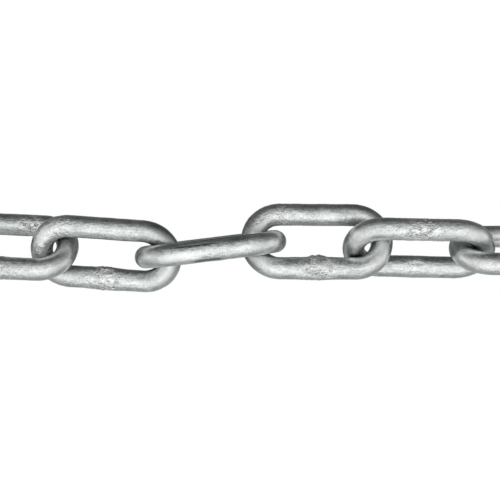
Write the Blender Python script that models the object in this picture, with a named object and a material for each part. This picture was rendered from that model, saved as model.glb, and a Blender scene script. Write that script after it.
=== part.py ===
# One metre of hot-dip galvanised steel chain, lying loose in a line on a level floor.
# Each link is one piece of 10 mm round bar, bent to a long oval and butt welded in one side.
# Units are metres. +X runs along the chain, +Z is up, and the floor is z = 0.

import math

import bmesh
import bpy
import numpy as np

MM = 0.001

# Driving dimensions of one link
WIRE_DIAMETER = 10 * MM
INSIDE_LENGTH = 50 * MM
OUTSIDE_WIDTH = 36 * MM
WELD_LENGTH = 14 * MM
WELD_SWELL = 0.4 * MM

# What follows from them
WIRE_RADIUS = WIRE_DIAMETER / 2
BEND_RADIUS = (OUTSIDE_WIDTH - WIRE_DIAMETER) / 2
HALF_STRAIGHT = (INSIDE_LENGTH + WIRE_DIAMETER) / 2 - BEND_RADIUS

# Facets: flats around the bar, and steps around each half-round end
SIDES = 12
BEND_STEPS = 12
# A facetted bar gets this corner radius, so that it holds as much steel as the round one
CORNER_RADIUS = WIRE_RADIUS * math.sqrt(2 * math.pi / (SIDES * math.sin(2 * math.pi / SIDES)))

# Daylight kept between the bars of two hooked links
CONTACT_GAP = 0.45 * MM

# How each link lies, from one end of the length to the other:
# roll  - degrees it is turned about its own length, 0 is flat and + raises its side at +Y
# yaw   - degrees its length is turned from +X towards +Y
# step  - mm its middle line lies to +Y of the last link's where the two are hooked
# lifts - mm that its neighbours' lower bars hold its first and second end off the floor
LINKS = [
    (38, 3.0, 0.0, (0, 0)),
    (-47, 1.0, 0.4, (0, 0)),
    (44, 4.5, -0.5, (0, 0)),
    (-40, 2.0, 0.3, (0, 0)),
    (52, -1.0, -0.4, (0, 0)),
    (-43, 1.5, 0.3, (0, 0)),
    (48, -3.0, 0.4, (0, 0)),
    (-39, -2.5, -0.3, (0, 0.4)),
    (27, -4.0, -0.9, (2.8, 5.6)),
    (-88, 7.0, 0.9, (0, 0)),
    (-18, -0.3, 0.6, (8.4, 6.4)),
    (49, -1.3, -2.5, (0.0, 0.8)),
    (-61, -0.2, -0.1, (0, 0)),
    (39, 2.0, 0.3, (1.7, 0.4)),
    (-50, -1.5, -0.4, (0, 0)),
    (41, -3.5, 0.4, (0, 0)),
    (-46, -1.0, 0.3, (0, 0)),
    (51, -4.0, -0.4, (0, 0)),
    (-39, -2.0, 0.3, (0, 0)),
    (45, -5.0, -0.3, (0, 0)),
]


def point_at(along):
    """A place on the middle line of a flat link and the outward direction there.

    The line starts where the straight bar at -Y does and runs anticlockwise.
    """
    half_way_round = 2 * HALF_STRAIGHT + math.pi * BEND_RADIUS
    side = 1.0
    if along >= half_way_round:
        along -= half_way_round
        side = -1.0
    if along < 2 * HALF_STRAIGHT:
        point = (side * (along - HALF_STRAIGHT), -side * BEND_RADIUS, 0.0)
        return np.array(point), np.array((0.0, -side, 0.0))
    angle = (along - 2 * HALF_STRAIGHT) / BEND_RADIUS - math.pi / 2
    outward = side * np.array((math.cos(angle), math.sin(angle), 0.0))
    return side * np.array((HALF_STRAIGHT, 0.0, 0.0)) + BEND_RADIUS * outward, outward


def centre_line(count):
    """Points spread evenly along the middle line of a flat link."""
    whole = 4 * HALF_STRAIGHT + 2 * math.pi * BEND_RADIUS
    return np.array([point_at(whole * index / count)[0] for index in range(count)])


def stations():
    """Where the rings of the mesh stand: distance along the middle line and swell of the bar."""
    straight = 2 * HALF_STRAIGHT
    bend = math.pi * BEND_RADIUS
    rows = []
    for share in (-1.0, -0.5, 0.0, 0.5, 1.0):
        rows.append((HALF_STRAIGHT + share * WELD_LENGTH / 2, WELD_SWELL * (1.0 - abs(share))))
    for start in (straight, 2 * straight + bend):
        for step in range(BEND_STEPS + 1):
            rows.append((start + bend * step / BEND_STEPS, 0.0))
    return rows


def flat_rings():
    """The corners of a flat link's facetted bar, ring by ring."""
    rings = []
    for along, swell in stations():
        point, outward = point_at(along)
        ring = []
        for side in range(SIDES):
            angle = 2 * math.pi * (side + 0.5) / SIDES
            corner = point + (CORNER_RADIUS + swell) * math.cos(angle) * outward
            corner[2] += (CORNER_RADIUS + swell) * math.sin(angle)
            ring.append(corner)
        rings.append(ring)
    return np.array(rings)


def axes(roll, yaw, pitch):
    """The link's own three directions after it is rolled, pitched and then turned."""
    roll, yaw, pitch = math.radians(roll), math.radians(yaw), math.radians(pitch)
    rolled = np.array([[1, 0, 0],
                       [0, math.cos(roll), -math.sin(roll)],
                       [0, math.sin(roll), math.cos(roll)]])
    pitched = np.array([[math.cos(pitch), 0, -math.sin(pitch)],
                        [0, 1, 0],
                        [math.sin(pitch), 0, math.cos(pitch)]])
    turned = np.array([[math.cos(yaw), -math.sin(yaw), 0],
                       [math.sin(yaw), math.cos(yaw), 0],
                       [0, 0, 1]])
    return turned @ pitched @ rolled


def nearest(first, second):
    """Shortest distance between the points of two middle lines."""
    gaps = first[:, None, :] - second[None, :, :]
    return math.sqrt((gaps ** 2).sum(axis=2).min())


def lay_out():
    """Places every link: (axes, middle) pairs, each hooked through the one before it."""
    line = centre_line(300)
    corners = flat_rings().reshape(-1, 3)
    placed = []
    for roll, yaw, step, lifts in LINKS:
        first_lift, second_lift = lifts[0] * MM, lifts[1] * MM
        pitch = math.degrees(math.atan2(second_lift - first_lift, INSIDE_LENGTH))
        turn = axes(roll, yaw, pitch)
        on_floor = -(corners @ axes(roll, 0, 0).T)[:, 2].min()
        middle = np.array([0.0, 0.0, on_floor + (first_lift + second_lift) / 2])
        if placed:
            middle = hooked(line, turn, middle[2], step * MM, *placed[-1])
        placed.append((turn, middle))
    return placed


def hooked(line, turn, height, step, last_turn, last_middle):
    """Where a link lies when it is drawn out along the last one until their bars touch."""
    half_pitch = INSIDE_LENGTH / 2
    last_line = line @ last_turn.T + last_middle
    own_line = line @ turn.T
    drawn_out = last_middle + (last_turn[:, 0] + turn[:, 0]) * half_pitch
    drawn_out[1] += step
    drawn_out[2] = height
    best, best_clear = drawn_out, -1.0
    for slack in np.arange(0, 5 * MM, 0.1 * MM):
        middle = drawn_out - np.array([slack, 0.0, 0.0])
        clear = nearest(own_line + middle, last_line) - WIRE_DIAMETER
        if clear >= CONTACT_GAP:
            return middle
        if clear > best_clear:
            best, best_clear = middle, clear
    return best


def bar_mesh(name, turn, middle):
    """One link as a closed facetted bar, already in its place."""
    mesh = bpy.data.meshes.new(name)
    work = bmesh.new()
    rings = [[work.verts.new(turn @ corner + middle) for corner in ring] for ring in flat_rings()]
    for index, ring in enumerate(rings):
        following = rings[(index + 1) % len(rings)]
        for side in range(SIDES):
            beside = (side + 1) % SIDES
            face = work.faces.new((ring[side], following[side], following[beside], ring[beside]))
            face.smooth = True
    bmesh.ops.recalc_face_normals(work, faces=work.faces)
    work.to_mesh(mesh)
    work.free()
    return mesh


def galvanised_steel():
    material = bpy.data.materials.new("galvanised steel")
    material.use_nodes = True
    shader = material.node_tree.nodes["Principled BSDF"]
    shader.inputs["Base Color"].default_value = (0.62, 0.64, 0.64, 1.0)
    shader.inputs["Metallic"].default_value = 1.0
    shader.inputs["Roughness"].default_value = 0.45
    return material


def main():
    for old in list(bpy.data.objects):
        bpy.data.objects.remove(old)
    steel = galvanised_steel()
    meshes = []
    for index, (turn, middle) in enumerate(lay_out()):
        mesh = bar_mesh(f"link_{index + 1:02d}", turn, middle)
        mesh.materials.append(steel)
        meshes.append(mesh)

    # The middle of the footprint becomes the origin, and the lowest point lies on the floor
    corners = np.array([vertex.co[:] for mesh in meshes for vertex in mesh.vertices])
    low, high = corners.min(axis=0), corners.max(axis=0)
    shift = np.array([-(low[0] + high[0]) / 2, -(low[1] + high[1]) / 2, -low[2]])
    for mesh in meshes:
        for vertex in mesh.vertices:
            vertex.co = np.array(vertex.co) + shift
        link = bpy.data.objects.new(mesh.name, mesh)
        bpy.context.scene.collection.objects.link(link)


main()
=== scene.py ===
import math

import bpy
import numpy as np
from mathutils import Matrix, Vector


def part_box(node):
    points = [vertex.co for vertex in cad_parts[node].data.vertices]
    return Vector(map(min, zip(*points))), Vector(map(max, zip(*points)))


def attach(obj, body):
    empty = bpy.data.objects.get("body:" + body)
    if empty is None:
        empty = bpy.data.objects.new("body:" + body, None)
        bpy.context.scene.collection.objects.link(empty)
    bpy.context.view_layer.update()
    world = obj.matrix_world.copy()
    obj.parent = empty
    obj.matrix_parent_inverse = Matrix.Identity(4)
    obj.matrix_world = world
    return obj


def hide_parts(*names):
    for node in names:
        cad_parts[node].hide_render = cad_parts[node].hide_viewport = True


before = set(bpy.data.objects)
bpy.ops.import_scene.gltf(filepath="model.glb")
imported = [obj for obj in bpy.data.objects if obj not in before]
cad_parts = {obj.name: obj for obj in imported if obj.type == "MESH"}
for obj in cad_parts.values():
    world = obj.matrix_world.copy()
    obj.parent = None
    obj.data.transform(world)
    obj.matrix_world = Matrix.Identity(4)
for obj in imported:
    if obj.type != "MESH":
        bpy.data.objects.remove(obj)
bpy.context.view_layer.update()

# The plain link. Round mild-steel bar is cut, bent hot round a former to a long oval, and butt
# welded in the middle of one long side. It is modelled once, lying flat, weld to -Y.
BAR_RADIUS = 0.005
BEND_RADIUS = 0.013
HALF_STRAIGHT = 0.017
BEND_RINGS = 202
STRAIGHT_CUTS = 84
BAR_SIDES = 48
HALF_ROUND = math.pi * BEND_RADIUS
BAR_LENGTH = 4 * HALF_STRAIGHT + 2 * HALF_ROUND


def edit_only(piece, kind, chosen):
    """Opens a piece in edit mode with only the chosen vertices or edges selected."""
    bpy.ops.object.mode_set(mode="EDIT")
    bpy.ops.mesh.select_mode(type=kind)
    bpy.ops.mesh.select_all(action="DESELECT")
    bpy.ops.object.mode_set(mode="OBJECT")
    parts = piece.data.vertices if kind == "VERT" else piece.data.edges
    parts.foreach_set("select", chosen)
    bpy.ops.object.mode_set(mode="EDIT")


def points_of(mesh):
    flat = np.empty(len(mesh.vertices) * 3)
    mesh.vertices.foreach_get("co", flat)
    return flat.reshape(-1, 3).copy()


bpy.ops.object.select_all(action="DESELECT")
bpy.ops.mesh.primitive_torus_add(
    major_radius=BEND_RADIUS,
    minor_radius=BAR_RADIUS,
    major_segments=BEND_RINGS,
    minor_segments=BAR_SIDES,
    generate_uvs=False,
)
plain_link = bpy.context.object
for side in (1, -1):
    edit_only(plain_link, "VERT", points_of(plain_link.data)[:, 0] * side > 0)
    bpy.ops.transform.translate(value=(side * HALF_STRAIGHT, 0, 0))
    bpy.ops.object.mode_set(mode="OBJECT")

# Each long bar is still one stretched facet strip, so it is cut into rings like the bends
ends = np.empty(len(plain_link.data.edges) * 2, dtype=int)
plain_link.data.edges.foreach_get("vertices", ends)
points = points_of(plain_link.data)
spans = points[ends[1::2], 0] - points[ends[0::2], 0]
edit_only(plain_link, "EDGE", np.abs(spans) > HALF_STRAIGHT)
bpy.ops.mesh.subdivide(number_cuts=STRAIGHT_CUTS, smoothness=0)
bpy.ops.object.mode_set(mode="OBJECT")
bpy.ops.object.shade_smooth()


def beside_bar(corners):
    """How far corners are past the start of a bend, and outward and up from the bar's middle line."""
    x, y, up = corners.T
    past_bend = np.maximum(np.abs(x) - HALF_STRAIGHT, 0)
    return past_bend, np.hypot(past_bend, y) - BEND_RADIUS, up


# Where each point would be on the bar before bending: along it from the weld, outward and up
points = points_of(plain_link.data)
x, y, _ = points.T
past_bend, outward, up = beside_bar(points)
turned = np.arctan2(past_bend, np.abs(y)) * BEND_RADIUS
from_middle = np.minimum(np.abs(x), HALF_STRAIGHT) + turned
from_weld = np.where(y < 0, from_middle, BAR_LENGTH / 2 - from_middle)
along = np.where(x >= 0, from_weld, BAR_LENGTH - from_weld)
unbent = np.stack([along, outward, up], axis=1)

# The weld: the bar ends are pressed together red hot between dies above and below, so steel is
# squeezed out at the inner and outer side, roughly trimmed, and holds a crust of dross.
WELD_REACH = 0.0060
CRUST_REACH = 0.0090
OUTER_SHARE = 0.55
TOP_SHARE = 0.3


def bell(distance, reach):
    return np.exp(-(distance / reach) ** 2)


squeezed_out = bell(from_weld, WELD_REACH) * np.where(outward < 0, 1.0, OUTER_SHARE)
squeezed_out *= TOP_SHARE + (1 - TOP_SHARE) * (outward / BAR_RADIUS) ** 2
# The dies leave a thin fin on the inner side, which is trimmed to a low flat step
FIN_HALF_LENGTH = 0.0040
FIN_HALF_WIDTH = 0.0011
from_inner = np.arctan2(up, -outward) * BAR_RADIUS
fin = np.exp(-(from_weld / FIN_HALF_LENGTH) ** 6) * bell(from_inner, FIN_HALF_WIDTH)
LEAST_WEIGHT = 0.01


def paint(piece, name, weights):
    """Adds a vertex group, which says how much of a skin layer each point gets."""
    group = piece.vertex_groups.new(name=name)
    for index in np.nonzero(weights > LEAST_WEIGHT)[0]:
        group.add([int(index)], float(weights[index]), "REPLACE")


def cloud_texture(name, size, hard):
    texture = bpy.data.textures.new(name, "CLOUDS")
    texture.noise_scale = size
    texture.noise_type = "HARD_NOISE" if hard else "SOFT_NOISE"
    texture.noise_depth = 2
    return texture


# The zinc coat: the finished chain is dipped in molten zinc and shaken, which leaves a skin that
# is slightly wavy everywhere, with lumps at the weld and a crust where dross has set. Each layer
# has its name, its pattern, the points that get it, its thickness and the pattern's middle.
SKIN = (
    ("bead", None, "weld", 0.00050, 0.0),
    ("trimmed_fin", None, "fin", 0.00060, 0.0),
    ("flash", cloud_texture("flash", 0.0026, True), "weld", 0.0010, 0.20),
    ("lumps", cloud_texture("lumps", 0.0016, False), "crust", 0.00045, 0.5),
    ("waves", cloud_texture("waves", 0.0080, False), None, 0.00030, 0.2),
    ("grit", cloud_texture("grit", 0.0022, False), None, 0.00012, 0.5),
)
# How heavy the weld is where it is not middling, then the other places where dross has set:
# link, distance along the bar from the weld, reach and thickness
MIDDLING_WELD = 0.8
WELDS = {8: 0.7, 9: 1.0, 10: 0.3, 11: 1.1, 12: 0.35, 13: 0.6}
DROSS = (
    (8, 0.063, 0.006, 0.9),
    (9, 0.096, 0.008, 0.65),
    (9, 0.113, 0.007, 0.5),
    (11, 0.091, 0.006, 0.6),
    (11, 0.103, 0.008, 0.5),
    (12, 0.075, 0.013, 1.0),
)
# Laps on the tenth link, rolled into the bar before it was bent, and painted shade in their grooves
# and on bends: link, place along, degrees from straight outward, half length, half width and strength
LAPS_AND_SHADE = (
    (10, -0.0065, 38, 0.0085, 0.00050, 1.0),
    (10, -0.0010, -58, 0.0060, 0.00075, 1.0),
    (10, 0.0060, 66, 0.0150, 0.00035, 1.0),
)
LAP_SHADE_DEPTH = 0.5
SHADED_BENDS = (
    (8, 0.036, 90, 0.013, 0.0060, 0.38),
    (9, 0.046, 10, 0.011, 0.0045, 0.62),
    (11, 0.052, 10, 0.009, 0.0045, 0.62),
    (11, 0.112, 10, 0.012, 0.0050, 0.62),
)
# Where the zinc is rubbed smooth apart from the bends, with a painted highlight, in the same order
RUBS_AND_HIGHLIGHTS = (
    (10, -0.0130, -22, 0.0100, 0.0024, 1.0),
)
# Painted shade where links bear on each other: black in the pinch, a faint spread further out
CONTACT_SHADE_REACH = 0.0014
SOFT_SHADE_REACH = 0.0045
SOFT_SHADE_DEPTH = 0.12
DARK_ZINC = (0.37, 0.41, 0.40, 1)
BRIGHT_ZINC = (0.92, 0.925, 0.922, 1)
PAINTED_SHADE_BLACK = (0.04, 0.045, 0.045, 1)
RELIEF_HEIGHT = 0.00045


def coat(piece):
    for name, texture, group, strength, middle in SKIN:
        layer = piece.modifiers.new(name, "DISPLACE")
        layer.texture = texture
        layer.texture_coords = "LOCAL"
        layer.vertex_group = group or ""
        layer.strength = strength
        layer.mid_level = middle
        bpy.ops.object.modifier_apply(modifier=name)


class Zinc:
    """A value in a material: arithmetic on it adds Math nodes, node() adds any other."""

    def __init__(self, tree, socket=None):
        self.tree = tree
        self.socket = socket

    def node(self, kind, settings=None, sockets=None, output=0):
        made = self.tree.nodes.new(kind)
        for name, value in (settings or {}).items():
            if name == "stops":
                self.set_stops(made.color_ramp, value)
            else:
                setattr(made, name, value)
        for name, value in (sockets or {}).items():
            if isinstance(value, Zinc):
                self.tree.links.new(value.socket, made.inputs[name])
            else:
                made.inputs[name].default_value = value
        return Zinc(self.tree, made.outputs[output] if made.outputs else None)

    def set_stops(self, ramp, stops):
        while len(ramp.elements) < len(stops):
            ramp.elements.new(0.5)
        for element, (place, shade) in zip(ramp.elements, stops):
            element.position = place
            element.color = (shade, shade, shade, 1)

    def math(self, operation, first, second):
        return self.node("ShaderNodeMath", {"operation": operation}, {0: first, 1: second})

    def __add__(self, other):
        return self.math("ADD", self, other)

    def __radd__(self, other):
        return self.math("ADD", other, self)

    def __sub__(self, other):
        return self.math("SUBTRACT", self, other)

    def __rsub__(self, other):
        return self.math("SUBTRACT", other, self)

    def __mul__(self, other):
        return self.math("MULTIPLY", self, other)

    def __rmul__(self, other):
        return self.math("MULTIPLY", other, self)


def hot_dip_zinc():
    material = bpy.data.materials.new("hot_dip_zinc")
    material.use_nodes = True
    tree = material.node_tree
    shader = tree.nodes["Principled BSDF"]
    start = Zinc(tree)
    unbent = start.node("ShaderNodeAttribute", {"attribute_name": "unbent"}, output=1)
    place = start.node("ShaderNodeTexCoord", output=3)
    crust = start.node("ShaderNodeAttribute", {"attribute_name": "crust_mark"}, output=2)
    lap = start.node("ShaderNodeAttribute", {"attribute_name": "lap"}, output=2)
    ash = start.node("ShaderNodeAttribute", {"attribute_name": "ash"}, output=2)
    rubbed = start.node("ShaderNodeAttribute", {"attribute_name": "rubbed"}, output=2)
    dull = 1.0 - rubbed * 0.55

    def noise(vector, scale, detail):
        sockets = {"Vector": vector, "Scale": scale, "Detail": detail, "Roughness": 0.6}
        return start.node("ShaderNodeTexNoise", {}, sockets)

    drawn = start.node("ShaderNodeMapping", {"vector_type": "POINT"},
                       {"Vector": unbent, "Scale": (0.10, 1, 1)})
    patches = noise(place, 120, 4)
    mottle = noise(place, 420, 4)
    grain = noise(place, 1100, 3)
    speck = noise(place, 1800, 2)
    flow = noise(drawn, 900, 3)
    ridge = start.math("ABSOLUTE", noise(place, 700, 2) - 0.5, 0.0)

    shade = patches * 0.27 + mottle * 0.18 + flow * 0.21 + speck * 0.34
    # Rubbed zinc gets a painted highlight and the laps painted shade, as lighter and darker tone
    shade = (shade - 0.5) * dull + 0.5 + rubbed * 0.05 + crust * (0.12 - ridge * 0.75) - lap * 0.25
    tone = start.node("ShaderNodeValToRGB", {"stops": ((0.38, 0.0), (0.60, 1.0))}, {"Fac": shade})
    colour = start.node("ShaderNodeMix", {"data_type": "RGBA"},
                        {0: tone, 6: DARK_ZINC, 7: BRIGHT_ZINC}, 2)
    # Painted shade darkens the colour towards black
    colour = start.node("ShaderNodeMix", {"data_type": "RGBA"},
                        {0: ash, 6: colour, 7: PAINTED_SHADE_BLACK}, 2)
    roughness = 0.16 + 0.16 * mottle + 0.14 * grain
    lumpy = start.node("ShaderNodeValToRGB", {"stops": ((0.44, 0.0), (0.62, 1.0))},
                       {"Fac": noise(place, 260, 2)})
    height = (mottle * 0.8 + grain * 0.35 + flow * 0.20) * dull
    # The laps are grooves in the relief; their darker colour above is painted shade
    height = height - ridge * crust * (0.8 + lumpy * 4.5) - lap * 0.6
    normal = start.node("ShaderNodeBump", {},
                        {"Strength": 1.0, "Distance": RELIEF_HEIGHT, "Height": height})
    tree.links.new(colour.socket, shader.inputs["Base Color"])
    tree.links.new(roughness.socket, shader.inputs["Roughness"])
    tree.links.new(normal.socket, shader.inputs["Normal"])
    shader.inputs["Metallic"].default_value = 1.0
    return material


# The chain. Every link is closed through the last one before it is welded, so they are laid here
# one by one in the places of the CAD links, each with its own zinc skin.
CLEAR_OF_STRAIGHT = 0.001
plain_link.data.materials.append(hot_dip_zinc())


def lie_of(node):
    """The place and turn of a CAD link: X along it, weld towards -Y, Z through its eye."""
    corners = points_of(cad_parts[node].data)
    centre = corners.mean(axis=0)
    _, _, axes = np.linalg.svd(corners - centre, full_matrices=False)
    length, width, _ = axes
    if length[0] < 0:
        length = -length
    # Only the round ends are used across the link, because the weld swells one bar
    flat = (corners - centre) @ np.stack([length, width], axis=1)
    middle = (flat[:, 0].max() + flat[:, 0].min()) / 2
    ends = np.abs(flat[:, 0] - middle) > HALF_STRAIGHT + CLEAR_OF_STRAIGHT
    across = (flat[ends, 1].max() + flat[ends, 1].min()) / 2
    reach = flat[~ends, 1] - across
    if reach.max() > -reach.min():
        width, across = -width, -across
    through = np.cross(length, width)
    centre = centre + length * middle + width * across
    turn = Matrix([[*row] for row in np.stack([length, width, through], axis=1)]).to_4x4()
    return Matrix.Translation(centre) @ turn


def gap_to(lie, corners):
    """How far corners are from the bar of a link that lies so."""
    turn = np.array(lie.inverted())
    _, outward, up = beside_bar(corners @ turn[:3, :3].T + turn[:3, 3])
    return np.maximum(np.hypot(outward, up) - BAR_RADIUS, 0)


def spots(marks, number):
    """How strongly each point of a link lies in one of its long flat-topped marks."""
    covered = np.zeros(len(along))
    for where, place, turn, half_length, half_width, strength in marks:
        if where == number:
            past = (along - place + BAR_LENGTH / 2) % BAR_LENGTH - BAR_LENGTH / 2
            aside = (np.arctan2(up, outward) - math.radians(turn)) * BAR_RADIUS
            spot = np.exp(-(past / half_length) ** 6) * bell(aside, half_width)
            covered = np.maximum(covered, spot * strength)
    return covered


def mark(piece, name, values, kind="FLOAT", field="value"):
    """Stores a value at each point for the material, under a name no vertex group has."""
    stored = piece.data.attributes.new(name, kind, "POINT")
    stored.data.foreach_set(field, values.ravel())


links = sorted(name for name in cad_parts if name.startswith("link_"))
lies = {number: lie_of(node) for number, node in enumerate(links, 1)}
for number, node in enumerate(links, 1):
    bpy.ops.object.select_all(action="DESELECT")
    plain_link.select_set(True)
    bpy.context.view_layer.objects.active = plain_link
    bpy.ops.object.duplicate()
    link = bpy.context.object
    link.name = f"zinc_link_{number:02d}"
    mark(link, "unbent", unbent + (number * BAR_LENGTH, 0, 0), "FLOAT_VECTOR", "vector")
    weld = WELDS.get(number, MIDDLING_WELD)
    crust = bell(from_weld, CRUST_REACH) * weld
    for where, spot, reach, thickness in DROSS:
        if where == number:
            crust = np.maximum(crust, bell(along - spot, reach) * thickness)
    paint(link, "weld", squeezed_out * weld)
    paint(link, "fin", fin * weld)
    paint(link, "crust", crust)
    mark(link, "crust_mark", crust)
    lap = spots(LAPS_AND_SHADE, number)
    mark(link, "lap", lap)
    # Bends and listed spots: rubbed smooth, with a painted highlight
    mark(link, "rubbed", np.maximum(np.clip(past_bend / BEND_RADIUS, 0, 1), spots(RUBS_AND_HIGHLIGHTS, number)))
    link.data.transform(lies[number])
    neighbours = [lies[other] for other in (number - 1, number + 1) if other in lies]
    gap = np.min([gap_to(neighbour, points_of(link.data)) for neighbour in neighbours], axis=0)
    # Painted shade: black where a neighbour link is close, faint further out, and on the listed bends and
    # laps
    ash = np.maximum(bell(gap, CONTACT_SHADE_REACH), bell(gap, SOFT_SHADE_REACH) * SOFT_SHADE_DEPTH)
    ash = np.max([ash, spots(SHADED_BENDS, number), lap * LAP_SHADE_DEPTH], axis=0)
    mark(link, "ash", ash)
    coat(link)
    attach(link, "root")
    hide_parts(node)
bpy.data.objects.remove(plain_link)

# The floor: a plain pale smooth sheet that the chain lies on. What the zinc mirrors of it is
# dimmer than what the camera sees, and keeps the light's difference between the sides.
FLOOR_SIZE = 8.0
MIRRORED_FLOOR = (0.35, 0.37, 0.362, 1)
bpy.ops.object.select_all(action="DESELECT")
bpy.ops.mesh.primitive_plane_add(size=FLOOR_SIZE, location=(0, 0, 0))
floor = bpy.context.object
floor.name = "floor"
floor_paint = bpy.data.materials.new("floor_paint")
floor_paint.use_nodes = True
tree = floor_paint.node_tree
tree.nodes.clear()
sheet = Zinc(tree)
pale = sheet.node("ShaderNodeEmission", {}, {"Color": (1, 1, 1, 1), "Strength": 1.0})
dim = sheet.node("ShaderNodeBsdfPrincipled", {},
                 {"Base Color": MIRRORED_FLOOR, "Metallic": 1.0, "Roughness": 0.3})
seen = sheet.node("ShaderNodeLightPath")
mixed = sheet.node("ShaderNodeMixShader", {}, {0: seen, 1: dim, 2: pale})
sheet.node("ShaderNodeOutputMaterial", {}, {"Surface": mixed})
floor.data.materials.append(floor_paint)

# Light: a wide soft glow from above that leans towards -Y and fades to a dim room towards +Y,
# with two low bright walls beyond the ends of the chain
GLOW_LEAN = math.radians(25)
GLOW_STRENGTH = 1.365
GLOW_FALL = 3.1
ROOM_STRENGTH = 0.015
WALL_STRENGTH = 0.95
WALL_FALL = 9.0
world = bpy.data.worlds.new("studio")
bpy.context.scene.world = world
world.use_nodes = True
tree = world.node_tree
tree.nodes.clear()
sky = Zinc(tree)
direction = sky.node("ShaderNodeTexCoord")
brightest = (0, -math.sin(GLOW_LEAN), math.cos(GLOW_LEAN))
facing = sky.node("ShaderNodeVectorMath", {"operation": "DOT_PRODUCT"}, {0: direction, 1: brightest}, 1)
sideways = sky.node("ShaderNodeVectorMath", {"operation": "DOT_PRODUCT"}, {0: direction, 1: (1, 0, 0)}, 1)
glow = sky.math("POWER", facing * 0.5 + 0.5, GLOW_FALL) * GLOW_STRENGTH + ROOM_STRENGTH
glow = glow + sky.math("POWER", sky.math("ABSOLUTE", sideways, 0.0), WALL_FALL) * WALL_STRENGTH
room = sky.node("ShaderNodeBackground", {}, {"Color": (0.985, 1.0, 0.993, 1), "Strength": glow})
backdrop = sky.node("ShaderNodeBackground", {}, {"Color": (1, 1, 1, 1), "Strength": 1.0})
looked_at = sky.node("ShaderNodeLightPath")
whole = sky.node("ShaderNodeMixShader", {}, {0: looked_at, 1: room, 2: backdrop})
sky.node("ShaderNodeOutputWorld", {}, {"Surface": whole})
bpy.context.scene.view_settings.view_transform = "Standard"

# The camera looks straight down on six links near the middle of the chain
CAMERA_OFFSET = (0.0181, -0.0004)
CAMERA_HEIGHT = 0.6016
LENS = 91.44
SENSOR_WIDTH = 36.0
low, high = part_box("link_10")
camera = bpy.data.objects.new("camera", bpy.data.cameras.new("camera"))
bpy.context.scene.collection.objects.link(camera)
middle = [(low[side] + high[side]) / 2 + CAMERA_OFFSET[side] for side in (0, 1)]
camera.location = (*middle, CAMERA_HEIGHT)
camera.data.lens = LENS
camera.data.sensor_width = SENSOR_WIDTH
bpy.context.scene.camera = camera
